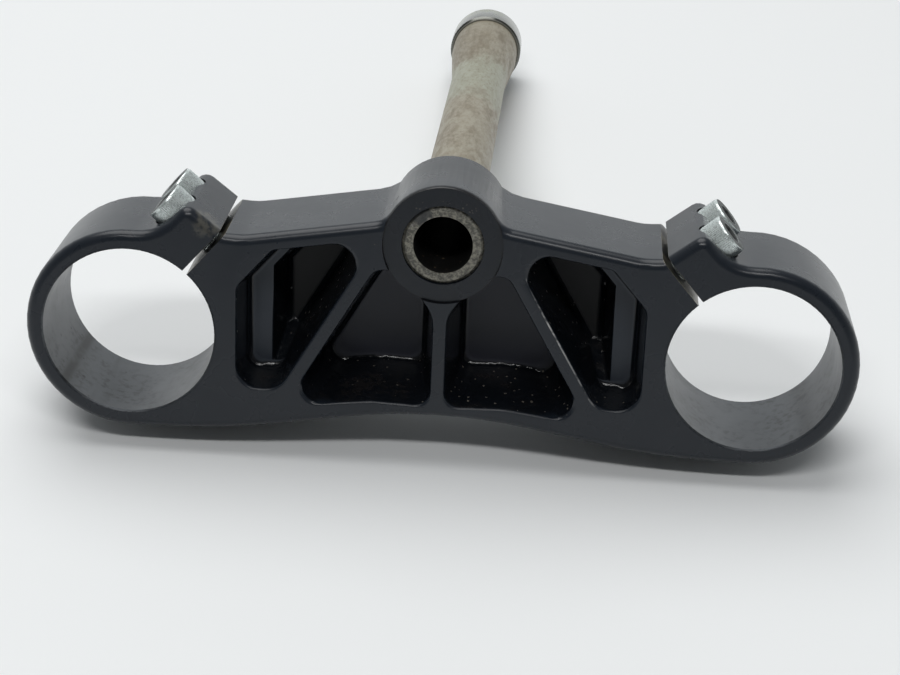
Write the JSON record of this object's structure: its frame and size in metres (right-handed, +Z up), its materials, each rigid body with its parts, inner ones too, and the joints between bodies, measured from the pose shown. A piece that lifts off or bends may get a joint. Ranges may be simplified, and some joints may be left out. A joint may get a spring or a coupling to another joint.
{
  "type": "motorcycle lower triple clamp",
  "caption": "Cast lower fork clamp with split fork bores, socket head pinch bolts, ribbed pockets and a pressed-in hollow steering stem.",
  "frame": {"origin": "centre of the bounding box's footprint, on the ground plane, where the rear rims of both rings and the stem's far end rest", "axes": "+X across from one fork bore to the other, +Y from the pocketed face back towards the stem's far end, +Z up from the ground"},
  "size_m": [0.2592, 0.2678, 0.0907],
  "materials": {
    "painted_casting": "cast aluminium under satin black paint, bare in the fork bores",
    "stem_steel": "turned steel with thin brown rust and dirt",
    "zinc_bolt": "zinc plated, dull"
  },
  "bodies": {
    "root": {"lower_clamp": "painted_casting", "steering_stem": "stem_steel", "pinch_bolt_left_lower": "zinc_bolt", "pinch_bolt_left_upper": "zinc_bolt", "pinch_bolt_right_lower": "zinc_bolt", "pinch_bolt_right_upper": "zinc_bolt"}
  },
  "joints": []
}
